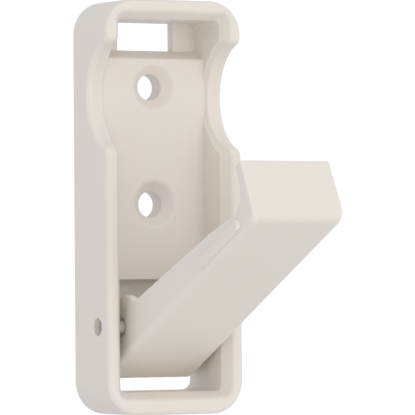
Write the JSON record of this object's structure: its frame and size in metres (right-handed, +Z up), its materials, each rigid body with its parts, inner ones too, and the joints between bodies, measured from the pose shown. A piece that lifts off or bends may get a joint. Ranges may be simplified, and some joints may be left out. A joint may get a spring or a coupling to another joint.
{
  "type": "stair gate latch",
  "caption": "Wall-mounted fold-out latch: a rounded housing with a screw pad and finger notches, and a hooked lever that swings out on a pin.",
  "frame": {"origin": "on the wall plane at the back of the housing, half way between the two screw holes", "axes": "+Z up along the housing, +Y into the wall, -Y out towards the user, +X to the right seen from the front"},
  "size_m": [0.0334, 0.0689, 0.09],
  "materials": {
    "housing_plastic": "satin off-white moulded plastic",
    "lever_plastic": "satin off-white moulded plastic",
    "pin_plastic": "satin off-white moulded plastic"
  },
  "bodies": {
    "housing_body": {"housing": "housing_plastic", "pivot_pin": "pin_plastic"},
    "lever_body": {"lever": "lever_plastic"}
  },
  "joints": [
    {"name": "lever_pivot", "type": "hinge", "parent": "housing_body", "child": "lever_body", "pos_m": [0, -0.0108, -0.03955], "axis": [-1, 0, 0], "range_deg": [0, 63]}
  ]
}
